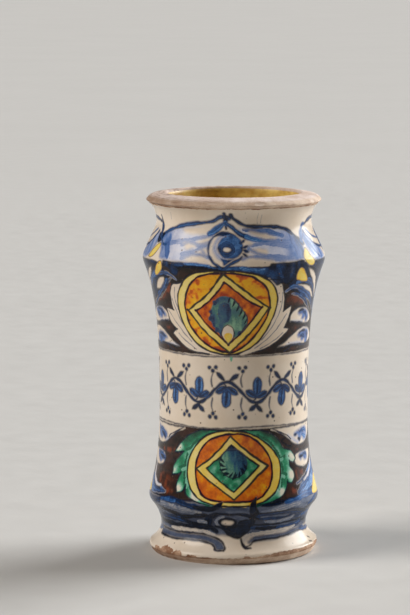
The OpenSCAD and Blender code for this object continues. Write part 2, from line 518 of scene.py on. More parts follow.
# lobed blue in each leaf, and darker strokes on it, whose places have widths
for load, points in rows("""
    0.86 | -77,167.6 -70,170.4 -64,169.6 -59.6,167 -58,164.4 -61,163.4 -63,164.6 -65,162 -69,161.8
    -74,163.4;
    0.7 | -71,168.6,1.2 -65.6,168,2.4 -61.6,165.6,1.4;
    0.5 | -74,165.4,1.6 -69,164.4,2;
    0.86 | -79,150 -72,152.8 -65,152.4 -60,150.4 -59.4,148.4 -62.4,147.8 -64.4,145.6 -69,144.6 -73,143
    -78,144;
    0.76 | -74,151,1.2 -68,151,2.6 -62.4,149.6,1.4;
    0.56 | -72,147.8,2.6 -71,144.6,1.4;
    0.86 | 53.5,167.6 57,169.4 63,169 68,166.6 70.5,163 68.5,159.8 65,160 64.5,163 61,161.4 58.5,162.6
    59,165 55,165.4;
    0.9 | 54,168,1 57.5,168.8,2.2 61,168.4,1.2;
    0.62 | 61,167,1 65,165.4,2.6 66.6,162,1.6;
    0.86 | 55,151.6 58,153.6 64,154.8 71,154.4 74.5,151.6 73.5,147 70.5,144 67,144.6 66.4,147.6 63,146.4
    60,147.6 60.4,149.6 56.6,149.4;
    0.86 | 57.5,152.4,1 62,153.8,2.2 67,153.6,1.4;
    0.66 | 59.6,150,1.6 63,150.6,2.6 66,149,1.2;
    0.66 | 70,152.6,1.4 71.6,149,2.2 70.4,145.6,1.2;
    0.84 | -80,87 -73,86 -66,84.6 -61.6,83 -61.4,79.6 -64.6,77.6 -68,79.4 -71,77.8 -78,79.6;
    0.76 | -71,82.4,1.6 -66.6,80.6,3 -64,78.8,1.2;
    0.5 | -77,84.6,1.6 -70,84.8,2.2 -64.6,82.8,1.2;
    0.86 | -79,69.4 -71,69.8 -64,68.4 -60,65.6 -62.6,63 -66,63.4 -69,61.4 -75,63.4;
    0.78 | -71,66.6,1.4 -66,65.4,3 -62.6,64.6,1;
    0.56 | -75,68,1.4 -67,68.2,1.8;
    0.7 | 53.6,84 60,85.6 67,86.6 73,86 75,81 72,77.4 66.6,77.6 65,80.4 61,77.4 57.6,78.6 58,81.4 53.4,81.4;
    0.86 | 58.4,79.6,1.4 60.6,78.6,2.4;
    0.82 | 53.6,82.6,1.2 55.6,82.6,1.8;
    0.5 | 61,83.6,1.4 68,84.6,2.8 73,82.6,1.6;
    0.36 | 65,81.4,1.6 70,79.6,2.6;
    0.8 | 57.6,67.6 62,69.6 69,69.6 72.6,67 71,63.8 66,63.4 64,65.4 60,64.4;
    0.84 | 58.6,66.4,1 62,66.8,2 65,67,1;
    0.62 | 65,68.4,1.2 70,67.4,2.2
"""):
    if len(points[0]) == 2:
        patch("wash", patchy(load + 0.08, (0.2, 3, 3, 93)), points)
    else:
        stroke("blue", (load + 0.06, load - 0.1), None, points, streak=0.08)
strokes("wash", """
    -56,161.4 -62,160.8 -68,160.4; -46,145.6 -54,145.4 -62,144.8; 48,161.6 54,160.6 60,160.2; 44,145.8
    52,146 60,145.6; -50,82.4 -57,80 -62,77; -50,66.6 -57,63 -62,61; 46,83 52,79.6 58,77
""", (0.2, 0.5), 1.6, streak=0.1)

for load, points in rows("""
    0.36 | 50,42 57,49.6 65,55 75,60 84,62 84,46 76,41.6 62,39.6;
    0.5 | -85,52 -77,52 -70,48 -60,45.4 -54,42.6 -64,40.4 -85,40
"""):
    spare(patchReach(points), ["brown"])
    patch("blue", patchy(load, (0.2, 4, 3, 95)), points, rim=0.1)

# blue blades sweeping to the middle of the side
strokes("blue", """
    0.46 0.7 | 38,183.6,1.6 45,186.6,2.6 54.4,183.4,4 67,177,4.4 77,168,2;
    0.5 0.8 | 44,181.4,1 52,179.4,2.4 61,175,3 71,167,1.6;
    0.5 0.76 | 47,189.4,1.4 57,190,2.8 68,185.4,3 77,177,2;
    0.86 | 53,202,2 63,200,3 73,194,3 80,186,2.4 84,176,2;
    0.45 | 85,203,2 85,190,3 85,176,4 85,166,2.6 85,158,1.2;
    0.45 | -95,203,2 -95,190,3 -95,176,4 -95,166,2.6 -95,158,1.2;
    0.55 | 85,88,2 85,78,3.4 85,72,2 85,62,2.8 85,50,2;
    0.55 | -95,88,2 -95,78,3.4 -95,72,2 -95,62,2.8 -95,50,2;
    0.74 0.5 | -78,188,2 -66,193,3 -56,195.6,3 -47,195.6,2.6 -41,191.6,1.2;
    0.52 0.74 | -50,191,1.4 -56,184.6,3 -64,178.6,3.4 -74,172,2.4 -84,166,1.6;
    0.5 0.6 | -60,196,1 -70,191,2.6 -80,184,2.4;
    0.6 0.86 | -45,193,1 -49,189.6,1.8 -55,183,1.4 -62,177.4,1;
    0.5 0.6 | 80,56,2 70,52,2.6 60,48,3 51,43.4,2;
    0.2 0.3 | 78,49.6,2 67,45.4,3 55,41.4,2;
    0.8 0.6 | 67,54.4,1.4 59,51.4,2.2 51,49,1.6;
    0.74 0.5 | 74,43.6,1.6 64,41.6,2.2 52,39.6,1.6;
    0.36 0.7 | -84,46,3 -75,42.4,3.8 -64,42,3.2 -55,43.4,1.4;
    0.5 0.8 | -80,51,2 -72,46,2.4 -64,44.4,1.2
""", spared=["brown"], streak=0.12)
strokes("wash", """
    -78,61,1.2 -78.6,53,2.6 -71,47,2.6 -62,46,1.2; 82,67,1.2 77.4,59,2.6 69,53.2,2 61,50.4,0.8
""", 0.2, spared=layerNames)
strokes("line", """
    44,141.5 34,145 26,144.4 17,143; 50,87 40,83 36,80
""", 0.8, 1, mirrored=True)


# Upper roundel: a ring, a four-pointed frame and a feather's eye

roundelLines = ((0.95, 1.3), (1.0, 1.5), (1.0, 1.4), (0.95, 1.3))     # load and width from the outside in
ringOut, ringIn, frameOut, frameIn = ways("""
    -6,199.8 -16,199.4 -24,198 -31,195 -36.5,189.4 -41,182.5 -42.7,176.3 -42.3,168.8 -39.7,161.3 -34.6,153.8
    -27.6,147.5 -18.6,143.1 -9,141 -3,140.7 2,141.2 9,143.6 15,147 20,151.3 25.5,158.8 29.3,166.3 31.5,173.8
    31.3,180.6 28.1,187.5 22.3,193.1 14.6,196.9 4,199.4; -10.3,198.1 -18.6,196.9 -25,193.8 -30.8,188.1
    -34.6,181.3 -36.5,175 -35.9,167.5 -33.3,160 -28.2,153.8 -21.2,148.1 -12.2,143.8 -3.3,142.2 0.6,142.7
    7,146.3 14,151.9 19.7,158.8 24.2,166.3 26.1,173.8 25.1,180 22.3,186.9 16.5,192.5 9.5,196.3 -2,198.1;
    -6.5,197.6 -6.5,197.6 -9.5,194 -12.5,189.5 -18.6,182 -27.6,175 -34,170.3 -34,170.3 -23.7,158.8 -13.5,150
    -3,142 -3,142 8.2,151.9 17.2,161.3 25.5,172.5 25.5,172.5 17.2,178 9.5,183.8 1.8,190 -3.5,195; -6.5,191.3
    -6.5,191.3 -9,187 -14.8,180 -21.2,174.4 -27.6,170.5 -27.6,170.5 -20,161.5 -11,153.8 -3.8,148 -3.8,148
    4.4,155 12,163 19.7,173.1 19.7,173.1 14.6,175.6 8.2,179.4 0.6,185.6 -4,190
""")
for leaf in ways("""
    -30,193 -36,190.5 -41.6,188.8 -44.8,188.5 -47.4,186.3 -49.1,181.9 -49.6,176.9 -49.3,172.5 -48.5,169.4
    -48.5,169.4 -54.4,170.3 -56.1,169.8 -55.7,166.9 -53.8,162.5 -51.2,159.4 -46.5,156.3 -46.5,156.3
    -50.8,153.5 -49.3,151.9 -44.2,148.1 -37.8,144.4 -28.8,141.9 -18.6,141 -10,140.9 -12,150 -30,165; 22,193
    27,193 31,191.9 33.8,189.4 35.7,185 37.4,179.4 37.9,173.8 38,169.5 38,169.5 44.3,172.8 45.1,170.6
    44,166.3 42.1,161.9 40,158 40,158 44.3,156.9 42.1,154.4 36.4,150.6 30,146.9 22.3,143.8 13.4,141.9
    4,140.9 8,150 22,165
"""):
    spare(patchReach(leaf))
    stroke("line", 0.9, 0.9, leaf[:-3])
strokes("line", """
    -48.3,177.5 -46.5,171.3 -41.6,162.5 -35.2,155 -26.3,147.5; -54.4,168.8 -48,162.5 -40.4,155 -32.7,148.8;
    -44.8,153.8 -37.8,148.8 -28.8,143.8; -44,186 -45.5,178 -43.5,170; 35.1,183.1 35.7,175 33.8,167.5
    28.7,158.8 21,150.6; 41,167.5 38.3,164 32.5,157 24.9,150.6 15.9,145; 39,154.5 35.7,152.5 28.7,148.4
    19.7,144.4
""", 0.25, 0.65, streak=0)


def emberLoad(u, v):
    # golden, with red blotches towards the bottom of the ring
    blotches = patchy(0, (1, 5, 4, 64), (0.6, 2, 2, 92))(u, v) + 0.5 * easeStep(166, 148, v)
    return patchy(0.4 + 0.42 * easeStep(0.25, 1.05, blotches), (0.05, 1.5, 1.5, 65))(u, v)


sparedPatch("warm", graded(0.11, 0.08, -35, 20), ringOut, 0.04)
patch("warm", emberLoad, ringIn, rim=0.34)
patch("warm", graded(0.13, 0.07, -25, 15), frameOut, rim=0.04)
patch("warm", patchy(0.76, (0.26, 3, 3, 66), (0.1, 1.2, 1.2, 67)), frameIn, rim=0.14)
for points, (load, width) in zip((ringOut, ringIn, frameOut, frameIn), roundelLines):
    outlined(points, load, width)
strokes("line", """
    -14,197.6,1 -9.4,199.4,1.5 -6.6,198,1.7 -3,193.8,1.2; 1,198.4,1 -4,199.6,1.5 -7,197.6,1.7 -10.6,193,1.2
""", 1.0)

plume = way("""
    -10.3,180.6 -6.5,181.5 -2,180.6 0.6,178.8 3.1,175.6 5.7,172.5 8.2,169.4 9.9,165 8.9,160.6 5.7,156.9
    1.8,153.1 -3.5,151 -8.4,153.1 -12.2,156.9 -16,162.5 -17.3,167.5 -16,172.5 -13.5,177.5
""")
patch("feather", patchy(graded(0.34, 0.45, -13, 4), (0.2, 1.6, 9, 75), (0.25, 5, 5, 76)), plume)
patch("feather", patchy(0.24, (0.2, 2, 6, 90)), oval(-6.5, 170, 4.4, 6.5))
strokes("line", """
    0.6,179.4,0.7 0.4,176.8,1.4 -0.9,174,0.5; 3.4,176.4,0.7 3.2,173.6,1.5 1.8,170.8,0.5; 5.8,173.6,0.7
    5.6,170.8,1.5 4.2,168,0.5; 8,170.4,0.7 7.8,167.8,1.4 6.4,165,0.5; 9.4,166.4,0.7 9,164.2,1.2 7.6,162,0.5;
    8.6,161.4,0.6 7.8,159.6,1.1 6.4,158.4,0.5; -2.6,181,0.7 -3,179,1.1 -3.8,177,0.5
""", 0.95, streak=0)
stroke("line", 0.75, 0.9, plume[2:10], streak=0)
for u, v, size in way("""
    -16.8,170,1.1 -17,165.4,1.5 -14.6,161,1 -12.4,157.4,1.4 -13.4,176.8,1.3 4.4,155.4,1.2 -9.4,154.4,0.8
"""):
    patch("feather", 0.02, oval(u, v, size, size * 1.2, 8), rim=0.1)
drop, dropFill = ways("""
    -4.4,161.6 -1,159.4 0.4,155.6 -0.6,152 -3.9,148.4 -3.9,148.4 -7,151.4 -8.9,155 -7.8,159; -7,154.4
    -3.8,156 -0.8,154.4 -2,151 -3.9,148.8 -6,151.4
""")
spare(patchReach(drop))
patch("warm", 0.2, dropFill)
outlined(drop, 0.9, 0.8)


# Lower roundel, with its green wreath

lowRingOut, lowRingIn, lowFrameOut, lowFrameIn = ways("""
    -2,88.6 -13.5,87.5 -22.5,83.8 -29.5,77.5 -34.2,70 -35.9,63.1 -35,55 -32,48.5 -28,44 -22,40.2 -12,37.8
    0,37 10,37.4 20,39.4 26.5,43 31.3,47 34.7,52.5 36.6,60 36.1,66.3 32.5,72.5 26.1,78.8 17.2,84.4 8.2,87.5;
    -3.3,86.3 -12.2,84.4 -19.9,80.6 -25.7,73.8 -28.6,66.3 -28.8,61.3 -27.8,55 -25,48.1 -20.5,43 -13,40.8
    0,40 12,40.6 19,42.8 26.1,50 28.7,56.3 29.3,63.8 27.4,70 22.9,76.3 15.9,82.5 7,86; -2.4,85 -9,77.4
    -18,69 -28.4,61.9 -18.6,54.6 -8.4,48 0.6,41.6 9,49.4 17,57 26.3,63.8 15,71 5,78.4; -1.7,78.8 -10.4,70.2
    -20.5,62.5 -10.6,54.6 0,46.8 9,55.2 19.1,64.4 8.4,71.4
""")
lowRing = {"middle": 63, "wide": 36, "high": 26}     # mm up, half of its width and of its height
# places of the white tips, and how far each one reaches
wreathTips = way("""
    -46.6,75,5.6 -49.6,58.4,4 -43,46.8,4.4 49.8,68.6,6.4 48,55.6,6 36.6,44.8,4 -28,41.6,4
""")


def wreathLoad(u, v):
    # pale beside the ring and deeper outwards, with white tips
    out = np.hypot(u / lowRing["wide"], (v - lowRing["middle"]) / lowRing["high"])
    load = 0.3 + 0.36 * easeStep(1.02, 1.17, out) + 0.2 * easeStep(74, 84, v) - 0.12 * easeStep(50, 42, v)
    load = patchy(load, (0.12, 5, 7, 78), (0.05, 1.6, 1.6, 79))(u, v)
    for tipU, tipV, wide in wreathTips:
        load = load - 0.75 * np.exp(-((u - tipU) ** 2 + (v - tipV) ** 2) / wide ** 2)
    return load


for wreath in ways("""
    -6,88.8 -12.2,88.9 -23.7,88.7 -31.4,86.5 -37.8,83.1 -43.6,78.1 -48,73.8 -49.6,71.3 -49.6,71.3 -44.2,71.9
    -40.6,72.3 -40.6,72.3 -44.2,68.8 -48,65 -49.7,61.3 -50.3,55.6 -50.3,55.6 -46.5,56 -41.6,57.5 -41.6,57.5
    -43.9,52.5 -44.2,47.5 -42.9,44 -42.9,44 -38.4,45.3 -35.9,49.5 -35.9,49.5 -35.2,44 -30.1,40.6 -23.7,38.6
    -14,37 -14,50 -20,80; 4,88.8 12.1,88.9 22.3,88.3 30,85.6 36.4,80.6 40.8,75 44.7,73.8 49.8,71.3 53.2,66.3
    49.8,64 49.8,64 46,65.4 46,65.4 46,61.9 49.2,58.1 49.4,53.8 46,50 46,50 42.8,50.6 42.1,52.2 42.1,52.2
    40.2,47.5 36.4,43.2 30,40.2 22,38.4 14,37 14,50 20,80
"""):
    sparedPatch("green", wreathLoad, wreath, 0.06)
    stroke("line", 0.9, 1.0, wreath[:-2])
strokes("blue", """
    -49.4,71.2,1 -44.6,71.6,2.4 -40.4,72.6,1.2; -50,55.6,0.8 -46,56.6,1.8 -42,58,1; -42.4,44.4,0.8
    -38.4,46,1.6 -36,49.6,1; 46.4,66,1 45.4,63.6,1.6 46,61.6,1; 43,81.5,0.8 39,80,1.2 43,77,1.3 48.4,75,1.2
    50,77,0.8; 45,50.6,0.8 42.6,51.6,1.5 41.4,50,0.8
""", 0.92)
for vein in ways("""
    -20,85 -30,80 -37,70 -38.4,60 -37,50; -35,75 -38,74; -38.6,63 -43,61.5; 18,85.5 28,80 36,70 38.5,60
    36,49; 37,67.6 41.6,69; 38.5,58 42,56.6
"""):
    stroke("green", 0.74, 0.8, vein)
    stroke("green", 0.3, 1.2, [(u * 0.94, v - 1.6) for u, v in vein])

sparedPatch("warm", graded(0.11, 0.1, -30, 20), lowRingOut, 0.04)
patch("warm", patchy(0.64, (0.2, 4.2, 4.2, 68), (0.1, 1.5, 1.5, 69)), lowRingIn, rim=0.24)
patch("warm", lambda u, v: 0.15 + 0.05 * np.sin(u * 0.5), lowFrameOut, rounded=False, rim=0.03)
spare(patchReach(lowFrameIn, False))
patch("green", patchy(0.6, (0.3, 3, 3, 77)), lowFrameIn, rounded=False)
for points, (load, width) in zip((lowRingOut, lowRingIn, lowFrameOut, lowFrameIn), roundelLines):
    outlined(points, load, width, rounded=points in (lowRingOut, lowRingIn))
eyeU, eyeV = -0.1, 66.3     # middle of the feather's eye
eyeDisc = oval(eyeU, eyeV, 10, 9.8)
patch("feather", patchy(lambda u, v: 0.82 - 0.62 * easeStep(-6, 6, u + 0.5 * (v - 66)), (0.2, 1.5, 8, 80)),
      eyeDisc)
patch("feather", 0.0, way("-1.8,79 -5,75.3 2.5,75.8"))
outlined(eyeDisc, 0.7, 0.8)
for step in range(13):
    turn = math.radians(158 + step * 15 + 5 * math.sin(step * 2.1))
    inner, middle, outer = 6.6 + math.sin(step * 1.7), 9, 10.4 + 0.6 * math.sin(step * 2.9)
    lash = [(eyeU + far * math.cos(turn + bend), eyeV + far * math.sin(turn + bend), wide)
            for far, bend, wide in ((outer, 0, 0.8), (middle, 0.1, 1.5), (inner, 0.3, 0.5))]
    stroke("line", 0.95, None, lash, streak=0)


# Shoulder: a lappet with an eye in its middle and washes on both sides

shoulder = {"ink": 0.8, "press": 1.34}     # how dark and how wide its lines are drawn
patch("wash", patchy(graded(0.28, 0.6, -42, -57), (0.1, 9, 3, 81), (0.1, 3, 9, 82)), way("""
    -62,221 -56,225 -49,227.4 -40,229.6 -30,230.4 -20,229 -14,226 -16,220 -17,214 -15,208 -18,206 -24,206.5
    -30,206 -36,205.2 -48,205.4 -54,206.5 -56,213 -59,217
"""))
patch("wash", patchy(graded(0.22, 0.68, 27, 48), (0.1, 9, 3, 83), (0.1, 3, 9, 84)), way("""
    3,229 9,229.6 20,230 33,229 42,226.5 48,221 52.5,215 50.5,207 44,205.5 34,205.6 28,205 24,207.6 14,209
    8,212 7.6,222
"""))
# cream left between the washes
for points in ways("""
    -36,218.6 -31,218.4 -26,216.6 -29,215 -32.4,213.8 -34.6,216; -25.4,212 -22,213.6 -18.4,215.4 -17,212.6
    -18,209.8 -21.6,210.8; -39,228.4 -28,230 -18,231 -17,226.4 -27,224.8 -36,225.4; -26,219.6 -20,222.2
    -15,224 -16.4,220 -20.6,218.8; -32,207 -27.6,209.8 -21.4,209.8 -14,206 -21,204.6 -28.6,205; 11,227.6
    19.6,226.8 31,222 23.6,222 16,224; 6.6,222.8 13,219.4 8,217; 10,213.8 16,215.6 22.6,213.6 20.6,211
    14.6,211.6; 5,209.2 7,212.6 13,210; 5.6,206 11,208.6 17.6,207.6 22,204.6 20,202.8 12.6,203.4
"""):
    spare(patchReach(points), ["wash"])
strokes("wash", """
    0.62 0.7 | -15.4,224.2,1.4 -23.6,222.8,1.6 -29.6,221.2,1.6 -38,219.4,2 -51,217,2.4;
    0.6 | -16,220,1 -24.4,217.6,1.4 -31.6,220,1.6 -41,219,2;
    0.6 0.64 | -18,218,1 -22.4,215.4,1.4 -26.6,212.6,1.6 -35,210.4,2.2;
    0.6 | -37,217,1.4 -31,219.4,1.2 -24,216.4,1.4 -17,209,1;
    0.74 0.6 | -15.4,209,1.2 -23,210.8,1.4 -29,210.2,1.6 -35,207.6,1.8;
    0.9 0.8 | 7,229,1.2 16,228.4,2.4 26,226.6,2.6 36,224,2;
    0.95 0.7 | 8,224,2.4 15.6,222,2 26,220.4,2 40,219,2.4;
    0.75 0.7 | 9.4,217,1 18,218.6,1.4 27,218,1.6 38,216,2;
    0.8 0.7 | 10,215,1.4 18,211,1.6 27.6,209,2 40,207,2;
    0.85 0.7 | 5.4,208,1.2 11,209.6,1.4 21.6,208.6,1.6 33,206,1.6;
    0.95 0.9 | -56,223.6,1 -51.6,218,3 -48.6,212,3 -46.8,207,1.4;
    1 0.9 | 43,226,1 45.4,220,4 46.6,213,4 46,207.4,1.4
""", streak=0.04, press=1.2)
stroke("wash", 0.55, 2.2, oval(-2.6, 216.6, 10, 9.4, 12, 105, 255), streak=0.1)
strokes("blue", """
    0.75 | -3.5,236.8,2.6 -9.5,237.6,2.8 -13.6,234.9,2 -18.3,233.6,1.9 -24.5,233,2 -30.6,232.1,2.2
    -36.8,231.2,2.5 -40.9,230.3,2.3 -45,229.3,2 -49.1,228,2 -53.2,226.4,2 -57.3,224.4,2.2 -60,222.4,2.6
    -62,219.6,3;
    0.95 | -2.2,239,2.2 -0.3,236.3,2.2 2.7,234.3,2 6.1,232.3,2 9.6,231.3,1.9 15,230.8,1.8 21.8,230.7,1.8
    28.7,230.3,1.9 34.1,229.7,2 39.6,228.3,2.2 43.7,226.3,2.3 47.1,223.3,2.4 49.8,220.3,2.6 53.2,217.3,2.8;
    0.95 | -6.8,240.2,2.2 -6.3,237,3 -5.8,233,2.6 -5.6,229.4,1.4;
    0.55 | -6.5,233.2,2.4 -9.5,231.1,3.4 -13.4,228.2,3.8 -17.5,225.9,3.2;
    0.75 | -4.8,232.7,2.2 -2,230.7,2.4 1.4,228,2.4 5.5,225.2,2.4 9.6,223,2.4;
    0.4 | 9,223.3,2.2 13.7,221.6,2.4 19,220.8,1;
    0.9 | -14.4,223.8,1 -10.8,225.6,1.9 -6.7,226,2.2 -2.6,225.5,2 1,224,1.4 4.5,221.4,1;
    0.8 | -14.4,223.8,0.9 -16.4,220.4,1.1 -17,216.5,1.1 -16.4,212,1.1 -15.4,209.3,1.3 -13.2,206,1.5
    -10.8,204,1.6 -7.6,200.6,1.8;
    0.8 | 5.2,210,1.2 3.6,208.2,1.8 1.4,206.7,2 -2,204.6,2 -6.1,201.4,1.8 -8.8,199.2,1.4
""", streak=0.1, **shoulder)
patch("blue", patchy(graded(0.36, 0.14, -10, 6), (0.16, 3, 2, 94)), oval(-2.3, 216.6, 8.6, 8.5), rim=0.06)
stroke("blue", 0.66, 2.6, oval(-5, 214.8, 3.8, 3.7, 16) + way("-1.2,214.8"))
patch("blue", 0.6, way("-8,208.6 -4,207.6 1,208.6 -3,205.6 -6.2,203.4 -7,205.6"))
spare(patchReach(oval(-4.5, 214.6, 2.3, 1.5)))
strokes("blue", """
    5.5,216,1 7.5,216.6,1.6 9.2,217.4,0.6; 6,214.4,1 7.8,213.8,2 9.4,213,0.8; 5.8,211.8,1 7.2,210.8,1.4
    8.4,209.8,0.6; 4.6,219.6,1 6,220.6,1.4 7.2,221.6,0.6
""", 0.74, press=1.35)
patch("blue", 0.85, way("-65,224.4 -58.4,223.6 -58.6,219 -62,216.4 -65,219"), streak=0.04, rim=0.08)
for load, points in rows("""
    0.85 | -58.6,222 -54,224.6 -50,223 -49,219 -52,216.4 -57,217.4;
    0.75 | 54.6,222 59,225.4 63,220 69,215.2 76,212 80,205 68,203 61,206 56.6,214;
    0.75 | -66.6,224 -63.6,217 -69,208 -77,204 -88,205 -84,211 -76,216
"""):
    patch("wash", patchy(load, (0.25, 3, 9, 85)), points)
strokes("blue", """
    0.6 | -60,220.4,1 -55.6,216.4,1.8 -51,216,1;
    0.56 | 46,223,1.4 49,217,3 50.4,211,2.4 49,207,1.4;
    0.5 | 58,222.6,1 61,216.4,2.4 65,210.6,2 70,205.6,1.2;
    0.4 | 56.4,220.6,1 58.4,214.6,2 62,208,1.4
""", streak=0.14)
strokes("blue", """
    0.85 | -65.8,235.7,1.2 -64.4,230.7,2.4 -62.7,226.4,2.6 -61.8,222,2;
    0.6 | 64.5,230.4,1 60,230,2 57.3,227,2.2 54.6,223.3,2.2 53.2,219.3,2;
    0.75 1.5 | 59.3,225.3 62.1,221.3 65.5,218 69.6,215.3 76,213 85,212;
    0.75 1.5 | -68,224.7 -71,221 -75,217 -82,213.6 -95,212;
    0.55 1.2 | 64,226 70,221.5 77,219 85,218;
    0.55 1.2 | -72,226 -80,221.5 -87,219 -95,218;
    0.85 | 64.5,230.4,1.4 70,232.6,2 78,233.6,2 85,233.8,2;
    0.85 | -66.5,231.4,1.4 -72,233,2 -84,233.8,2 -95,233.8,2
""", streak=0.1, **shoulder)
for placed in bothSides(way("0,226.5 3.5,223 3.5,214 0,208 -3.5,214 -3.5,223")):
    patch("blue", 0.5, placed, rim=0.2)

# yellow leaves
for load, points in rows("""
    0.13 | 49.8,206.7 51.2,210.7 53.9,213.6 55.9,211.3 57.3,208 60.7,204.6 60,201.3 55.9,201 52.5,202.7;
    0.13 | -69.2,206 -66.1,210.7 -62.7,214.7 -58.6,216.8 -57.4,214.7 -59.4,210.7 -62.5,207 -66.1,205.3;
    0.2 | -63,194.2 -58,200.5 -54,203.9 -51.3,203.6 -52,199.5 -56,195.6 -61,193.2;
    0.2 | 44.7,195 46,199.8 49,199.8 53,196 57.8,190.4 55,189.2 50,190.2 46,191.5
"""):
    sparedPatch("warm", load, points, 0.1)
    outlined(points, 0.5, 0.6)

# dark ground between the lappet and the roundel
patch("blue", patchy(0.84, (0.16, 2.4, 7, 88)), way("""
    -50,205 -42,204.6 -33,204.9 -32,201.6 -36,199.4 -40,195 -44,196 -46,200 -50,201
"""))
strokes("blue", """
    0.7 0.5 | -40,203.4,2 -33,203.4,3 -24,203.4,3 -16,202.6,2.6 -9,200.4,1.6;
    0.42 0.3 | -32,204.4,1 -24,204.2,1.6 -16,203.6,1;
    0.92 1.2 | -33,201.4 -24,201.6 -16,201 -9,199.6
""")
patch("blue", patchy(graded(0.4, 0.44, 2, 36), (0.16, 2.4, 7, 89)), way("""
    -6,200.6 1,203.4 8,202.8 16,201.8 22,203 25,204.9 40,204.8 48.5,205.8 50.2,203 47,200 44,198 43,192
    38,188.4 34,190 30,188 27,190.5 22,194.6 14,198 6,199.9 -2,200.2
"""), rim=0.1)
strokes("blue", """
    0.66 | 28,203,1 30,199,2.4 33,194,1;
    0.36 | 4,202.4,0.8 12,201.4,1.6 19,201,0.8
""", streak=0.12)


# Foot: twisted ribbons round an eye, on a slate ground laid darker as painted shade under the belly

# slate paint, laid darker than the paint alone as painted shade under the belly's overhang
slateGroundAndShade = patchy(0.7, (0.16, 22, 1.7, 86), (0.12, 7, 3, 87))
band("slate", lambda u, v: slateGroundAndShade(u, v) - 0.1 * easeStep(24, 34, v), 13.4, 39)
strokes("slate", """
    0.42 | -66,33.6,1 -54,32.4,2.4 -42,30.6,2.6 -30,30.4,2.4 -21,30.8,1.2;
    0.5 | -64,26,1 -56,26,2 -48,24.6,1.6 -42,22.8,0.8;
    0.54 | -70,20.6,1 -56,20.4,1.8 -44,20.4,1.8 -34,20.2,1;
    0.4 | 20,32.4,1 30,33.4,2.8 40,34.6,2.6 52,34,2 64,31,1;
    0.52 | 18,27.4,1 28,27.8,2.2 40,27,2.4 52,24.6,2 62,22.6,1;
    0.44 | 24,23,1 36,22,1.8 48,22,1.4;
    0.48 | 30,18.8,1 42,18.6,1.8 56,19.4,1
""", streak=0.06)
patch("slate", patchy(0.66, (0.2, 7, 3, 91)), way("""
    -22,33 -8,35.6 8,35.4 17,31 15,25 8,25 0,28 -9,28 -16,21 -21,26
"""))
patch("blue", 0.92, way("""
    -15,19.6 -8,17 -5,13.4 0,11.5 5,11 8,13 13,17 15,22 11,25.6 5,25 1,20.6 -6,19.6 -12,21
"""), rim=0.12)
patch("slate", 0.58, way("""
    -74,13 -60,13 -48,13 -35,13.6 -24,13.6 -15,11.8 -9.5,9.3 -7,6.4 -6.4,4 -7.6,2.6 -11,2.4 -13.2,3.2
    -14.5,5.6 -18,7.8 -26,8.8 -36,8.9 -48,8.2 -60,8 -74,8.4
"""), rim=0.12)
stroke("slate", 0.58, 4, way("12,8.6,2.4 15,10,3.6 20,10.9 40,11.3 60,12.8 70,14"))
strokes("blue", """
    0.76 | -70,33,2 -62,35.6,2.6 -55,37.4,3 -47,38.4,3 -40,37.8,3 -34,36.6,3 -27,35.2,3 -20,34.8,3
    -13,35.5,3 -8,38.6,2.6;
    0.52 | -58,37.4,1 -51,38,1.6 -44,38,1;
    0.98 | -66,31.6,1.4 -57,29.4,2.4 -46,26.7,3 -40,25.3,2.6 -33,26.5,2.6 -26,28,2.8 -20,28.8,3;
    0.76 | -70,22.4,2.6 -60,23,3.2 -50,23,3.2 -42,22.4,3 -33,20.8,2.4;
    0.98 | -20,21,1.2 -27,21,1.5 -34,21.6,1.5 -42,24,1.4;
    1.01 | -74,18.6,2 -56,18.2,2.4 -44,18.2,2.6 -30,18.8,2.6 -19,18.4,2.2;
    0.91 1 | -74,13.2 -50,13.1 -35,13.8 -24,13.8 -15,12 -9.5,9.5 -7,6.6 -6.2,4.2 -7.2,2.4;
    0.91 1.1 | -74,8.4 -60,7.9 -48,8.1 -36,8.8 -26,8.7 -18,7.7 -14.6,5.5 -13.5,3.1 -10.4,2.2 -7.2,2.4;
    0.96 | -2,30.6,1.2 -9,31,2.4 -15,29,3.4 -18.6,25,3.6 -18.4,20,3 -13,16,2.2;
    0.96 | -4,30.6,1.2 4,31,2 11,28.6,2.8 14,24,3 13,19,2.6;
    1.01 | 15.4,42.6,2 13.6,38.6,4 13.6,34,4.6 16,29.4,3.6 19,26,2;
    0.96 | 20,37.6,1.6 28,37.6,2.2 36,38.6,2 44,39.2,1.6;
    0.51 | 38,37.6,1.6 48,38.8,2.8 58,40.4,3 70,40.6,2.4;
    0.76 | 18,29,2 30,29.8,2.6 40,29.4,2.6 52,27.4,2.6 64,24.4,2.4;
    0.91 0.9 | 18,31 30,31.4 42,31.6 54,30 66,27;
    0.76 | 20,25.6,1.6 30,25.4,2.2 39,24.4,2 48,25.6,2 58,22.8,2;
    1.01 | 15,20.8,1 26,20.3,1.2 36,20,1.2 50,20.3,1.2 64,20,1.4;
    0.66 | 15,18.4,1.6 26,17.6,2.2 40,17.2,2.2 52,17.2,2.2 64,18,2;
    0.98 1 | 18,17.9 26,17.4 34,17.6;
    0.96 0.9 | 9,5 12.6,6.4 16,9 24,9.7 36,9.9 50,10.6 62,11.4 72,12.8;
    0.96 | 6,11,1.4 6.6,7.4,1.8 9,4.4,1.8 12.6,4,1.2;
    0.86 0.7 | 72,4.4 74.4,3.4;
    0.86 0.7 | 69,0.8 72,0.2
""", streak=0.08, press=1.4)
strokes("blue", """
    -7.4,40,1.4 -10,37.6,3.2 -14,35.8,3.4 -20,35,3 -27,35.4,2; 15.8,43,1.6 13.8,39,4.4 13.4,35,5.2
    15.6,30.6,4
""", 1.0, spared=["warm", "green", "line"], streak=0.04)
strokes("blue", """
    0.6 3 | 22,33 10,37.5 0,38.5;
    0.6 3 | 22,23 10,24 0,24;
    0.92 2.2 | 22,30 10,29.6 0,29.4;
    0.92 2.2 | 20,19 10,18.4 0,18;
    0.65 3.4 | 20,12.8 10,11.2 0,10.6
""", mirrored=True, streak=0.1)
